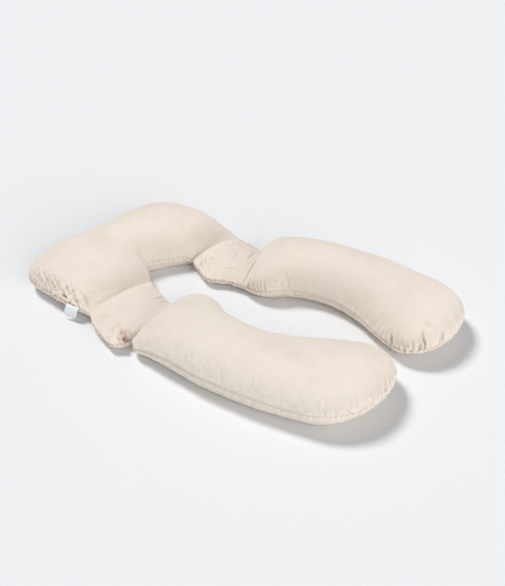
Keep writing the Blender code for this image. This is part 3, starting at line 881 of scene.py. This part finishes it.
def jerseyCloth():
    # melange knit: warm mottling, pale woven-in dots, painted shade in the crease bottoms, a stitched line
    # beside each seam
    # relief = wales * rows + grain, stitches and dots, each times its share
    material, tree, shader = startMaterial("jerseyCloth")
    link, j = tree.links.new, jersey
    place = node(tree, "TexCoord").outputs["Object"]
    cut = node(tree, "UVMap", uv_map="cut").outputs[0]
    mottle = node(tree, "TexNoise", Scale=1 / j["mottle"], Detail=2.0)
    wide = node(tree, "TexNoise", Scale=j["wide"], Detail=1.0)
    fine = node(tree, "TexNoise", Scale=1 / j["melange"], Detail=3.0)
    dots = node(tree, "TexVoronoi", Scale=1 / j["dotPitch"], Randomness=j["dotScatter"])
    for texture, source in ((mottle, place), (wide, place), (fine, cut), (dots, cut)):
        link(source, texture.inputs["Vector"])
    warmth = maths(tree, "MULTIPLY_ADD", mottle.outputs[0], *j["mottleRange"])
    tone = blend(tree, warmth, j["rosy"], j["base"])
    yellowing = maths(tree, "MULTIPLY_ADD", wide.outputs[0], *j["wideRange"])
    tone = blend(tree, yellowing, tone, j["straw"])
    spot = maths(tree, "MULTIPLY_ADD", dots.outputs["Distance"], *j["dotRange"])
    spot.node.use_clamp = True
    tone = blend(tree, maths(tree, "MULTIPLY", spot, j["dotShare"]), tone, j["dot"])
    grain = maths(tree, "MULTIPLY_ADD", fine.outputs[0], *j["grainRange"])
    grey = node(tree, "CombineColor")
    for socket in grey.inputs:
        link(grain, socket)
    tone = blend(tree, 1.0, tone, grey.outputs[0], "MULTIPLY")
    paintedCreaseShade = node(tree, "Attribute", attribute_name="paintedCreaseShade").outputs["Fac"]
    # painted shade: the crease bottoms are mixed towards the deep colour
    tone = blend(tree, maths(tree, "MULTIPLY", paintedCreaseShade, j["paintedShadeShare"]), tone, j["deep"])
    reach = node(tree, "Attribute", attribute_name="reach").outputs["Fac"]
    outline = node(tree, "Attribute", attribute_name="outline").outputs["Fac"]
    beside = maths(tree, "COMPARE", reach, j["stitchAt"], j["stitchHalf"])
    along = maths(tree, "FRACT", maths(tree, "MULTIPLY", outline, 1 / j["stitchPitch"]))
    stitch = maths(tree, "MULTIPLY", beside, maths(tree, "LESS_THAN", along, j["stitchLength"]))
    tone = blend(tree, maths(tree, "MULTIPLY", stitch, j["stitchShare"]), tone, j["thread"])
    link(tone, shader.inputs["Base Color"])
    ribs = []
    for direction, pitch in (("X", j["knit"]), ("Y", j["rowShare"] * j["knit"])):
        ribs.append(node(tree, "TexWave", Scale=bandScale / pitch, Distortion=j["waviness"],
                         bands_direction=direction))
        link(cut, ribs[-1].inputs["Vector"])
    relief = maths(tree, "MULTIPLY", ribs[0].outputs["Fac"], ribs[1].outputs["Fac"])
    for source, share in ((fine.outputs[0], "grainRelief"), (stitch, "stitchRelief"), (spot, "dotRelief")):
        relief = maths(tree, "MULTIPLY_ADD", source, j[share], relief)
    bump = node(tree, "Bump", Strength=j["bump"], Distance=j["bumpHeight"])
    link(relief, bump.inputs["Height"])
    link(bump.outputs[0], shader.inputs["Normal"])
    setSockets(shader, j["shader"])
    return material


tapeCloth = {
    "low": (0.80, 0.82, 0.86, 1), "high": (0.93, 0.94, 0.96, 1), "cloud": (0.78, 0.79, 0.84, 1),
    "warp": 0.0008, "weft": 0.0006, "cloudScale": 180.0, "cloudShare": 0.20, "bump": 0.4, "bumpHeight": 0.0002,
    "shader": {"Roughness": 0.62, "Sheen Weight": 0.12},
}


def wovenTape():
    # white taffeta tape: fine ribs both ways, warp * weft, a little cloudy
    material, tree, shader = startMaterial("wovenTape")
    link, t = tree.links.new, tapeCloth
    cut = node(tree, "UVMap", uv_map="cut").outputs[0]
    warp = node(tree, "TexWave", Scale=bandScale / t["warp"], bands_direction="X")
    weft = node(tree, "TexWave", Scale=bandScale / t["weft"], bands_direction="Y")
    cloudy = node(tree, "TexNoise", Scale=t["cloudScale"], Detail=2.0)
    for texture in (warp, weft, cloudy):
        link(cut, texture.inputs["Vector"])
    weave = maths(tree, "MULTIPLY", warp.outputs["Fac"], weft.outputs["Fac"])
    tone = blend(tree, weave, t["low"], t["high"])
    tone = blend(tree, maths(tree, "MULTIPLY", cloudy.outputs[0], t["cloudShare"]), tone, t["cloud"])
    link(tone, shader.inputs["Base Color"])
    bump = node(tree, "Bump", Strength=t["bump"], Distance=t["bumpHeight"])
    link(weave, bump.inputs["Height"])
    link(bump.outputs[0], shader.inputs["Normal"])
    setSockets(shader, t["shader"])
    return material


# label

label = {
    "start": 0.341, "width": 0.050, "thickness": 0.0005, "layerGap": 0.0005,  # start is the plan's x
    # distance out from the seam and height of the tape's upper layer
    "path": [(0.0006, 0.0440), (0.0050, 0.0428), (0.0100, 0.0388),
             (0.0142, 0.0325), (0.0174, 0.0250), (0.0195, 0.0172)],
    "columns": 26, "steps": 26, "foldSteps": 9,  # across the tape, down a layer, round the fold
    "seamSteps": 2001,  # along the head pad's outer seam
    "wave": 0.0012, "waves": 0.8, "wavePhase": 0.5, "wavePower": 1.5,  # it waves outwards across its width
    "curl": 0.0030, "curlFrom": 0.4, "drop": 0.4,  # its ends curl, and it sinks by this share of both
}


def labelPiece():
    # closed tape: centre line out, round the fold and back, thickened by +-thickness / 2, swept along the seam
    rows = rowsEven(label["path"], np.linspace(0, 1, label["steps"]))
    run = np.gradient(rows, axis=0)
    run = run / np.linalg.norm(run, axis=1)[:, None]
    square = np.stack([-run[:, 1], run[:, 0]], axis=-1)
    apart = (label["layerGap"] + label["thickness"]) / 2
    swing = np.linspace(math.pi / 2, -math.pi / 2, label["foldSteps"] + 2)[1:-1][:, None]
    turn = apart * (np.cos(swing) * run[-1] + np.sin(swing) * square[-1])
    middle = np.concatenate([rows + apart * square, rows[-1] + turn, (rows - apart * square)[::-1]])
    along = np.gradient(middle, axis=0)
    along = along / np.linalg.norm(along, axis=1)[:, None]
    away = np.stack([-along[:, 1], along[:, 0]], axis=-1) * label["thickness"] / 2
    ring = np.concatenate([middle + away, (middle - away)[::-1]])
    length = runLength(middle)
    lengths = np.concatenate([length, length[::-1]])

    headOuter = rowsEven(headPad["rows"], np.linspace(0, 1, label["seamSteps"]))[:, 2:4]
    front = headOuter[:label["seamSteps"] // 4][::-1]  # the front seam, x rising
    x = np.linspace(label["start"], label["start"] + label["width"], label["columns"])
    seam = np.stack([x, np.interp(x, front[:, 0], front[:, 1])], axis=-1) - planOrigin
    edge = (seam[-1] - seam[0]) / np.linalg.norm(seam[-1] - seam[0])
    outwards = np.array([edge[1], -edge[0]])
    share = np.linspace(0, 1, label["columns"])[:, None]
    hang = lengths / lengths.max()
    hang = np.minimum(hang, 1 - hang) * 2  # 0 at the seam, 1 at the fold
    swell = np.sin(2 * math.pi * share * label["waves"] + label["wavePhase"])
    lean = label["wave"] * swell * hang ** label["wavePower"]
    lean = lean + label["curl"] * (share - label["curlFrom"]) ** 2 * hang ** 2
    reachOut = ring[None, :, 0] + lean
    plan = seam[:, None] + reachOut[..., None] * outwards
    height = ring[None, :, 1] - label["drop"] * lean
    points = np.concatenate([plan, height[..., None]], axis=-1)
    count = points.shape[1]
    firsts = np.arange(label["columns"] - 1)[:, None] * count
    low = (firsts + np.arange(count)[None]).ravel()
    beside = (firsts + (np.arange(count)[None] + 1) % count).ravel()
    quads = np.stack([low, beside, beside + count, low + count], axis=-1)
    k = np.arange(count // 2 - 1)  # the tape's two cut edges
    side = np.stack([k, count - 1 - k, count - 2 - k, k + 1], axis=-1)
    quads = np.concatenate([quads, side, side[:, ::-1] + (label["columns"] - 1) * count])
    flatPoints = points.reshape(-1, 3)
    a, b, c = (flatPoints[quads[:, k]] for k in range(3))
    if (a * np.cross(b, c)).sum() < 0:
        quads = quads[:, ::-1]
    uv = np.stack([np.broadcast_to(share * label["width"], points.shape[:2]),
                   np.broadcast_to(lengths[None], points.shape[:2])], axis=-1)
    cover = {"quads": quads, "loose": quads, "cut": uv.reshape(-1, 2)}
    mesh = coverMesh("wovenLabel", flatPoints, cover)
    mesh.materials.append(wovenTape())
    piece = dressed(bpy.data.objects.new("wovenLabel", mesh), "label")
    print("label", len(mesh.polygons), "faces, unfolded length", round(float(lengths.max()), 4))
    return piece, float(lengths.max())


# build

cloth = jerseyCloth()
head = paddedPiece("headPad", headPatches, headPad, "head_pad", cloth)
for side in ("front", "back"):
    paddedPiece(side + "Arm", lambda *steps, side=side: armPatches(side, *steps), arms,
                "arm_" + side, cloth)
    paddedPiece(side + "Hinge", lambda *steps, side=side: hingePatches(side, *steps), hinges,
                "hinge_panel_" + side, cloth)
tape, tapeLength = labelPiece()

# floor, light and camera

studio = {
    "floorSize": 30.0, "floorHeight": -0.0006,
    "floor": {"Base Color": (0.842, 0.851, 0.869, 1), "Roughness": 0.9, "Specular IOR Level": 0.0},
    # direction, strength and angular width in degrees of each light
    "suns": {"keySun": ((0.72, -0.03, -1.0), 2.18, 17.0), "fillSun": ((-0.96, 0.22, -0.15), 2.75, 60.0)},
    "sky": {"Color": (1, 1, 1, 1), "Strength": 0.29},
    "elevation": 34.39, "azimuth": 40.30, "distance": 3.0353, "lookAt": (-0.0201, 0.0921, 0.0),
    "focalPixels": 900.0, "longSide": 586.0, "sensor": 36.0,  # the long side of the picture in pixels
}

floorMesh = bpy.data.meshes.new("floor")
size, level = studio["floorSize"], studio["floorHeight"]
floorMesh.from_pydata([(-size, -size, level), (size, -size, level), (size, size, level), (-size, size, level)],
                      [], [(0, 1, 2, 3)])
floor = bpy.data.objects.new("floor", floorMesh)
bpy.context.scene.collection.objects.link(floor)
floorMaterial, _, floorShader = startMaterial("paleFloor")
setSockets(floorShader, studio["floor"])
floorMesh.materials.append(floorMaterial)

for name, (direction, strength, width) in studio["suns"].items():
    sun = bpy.data.lights.new(name, "SUN")
    sun.energy, sun.angle = strength, math.radians(width)
    sunObject = bpy.data.objects.new(name, sun)
    sunObject.rotation_mode = "QUATERNION"
    sunObject.rotation_quaternion = Vector(direction).to_track_quat("-Z", "Y")
    bpy.context.scene.collection.objects.link(sunObject)

world = bpy.data.worlds.new("paleSky")
world.use_nodes = True
setSockets(world.node_tree.nodes["Background"], studio["sky"])
bpy.context.scene.world = world
bpy.context.scene.view_settings.view_transform = "Standard"

camera = bpy.data.cameras.new("photoView")
camera.lens = studio["focalPixels"] * studio["sensor"] / studio["longSide"]
camera.sensor_width = studio["sensor"]
cameraObject = bpy.data.objects.new("photoView", camera)
a, e = math.radians(studio["azimuth"]), math.radians(studio["elevation"])
back = Vector((math.sin(a) * math.cos(e), -math.cos(a) * math.cos(e), math.sin(e)))
cameraObject.location = Vector(studio["lookAt"]) + back * studio["distance"]
cameraObject.rotation_mode = "QUATERNION"
cameraObject.rotation_quaternion = (-back).to_track_quat("-Z", "Y")
bpy.context.scene.collection.objects.link(cameraObject)
bpy.context.scene.camera = cameraObject
print("floor, light and camera")
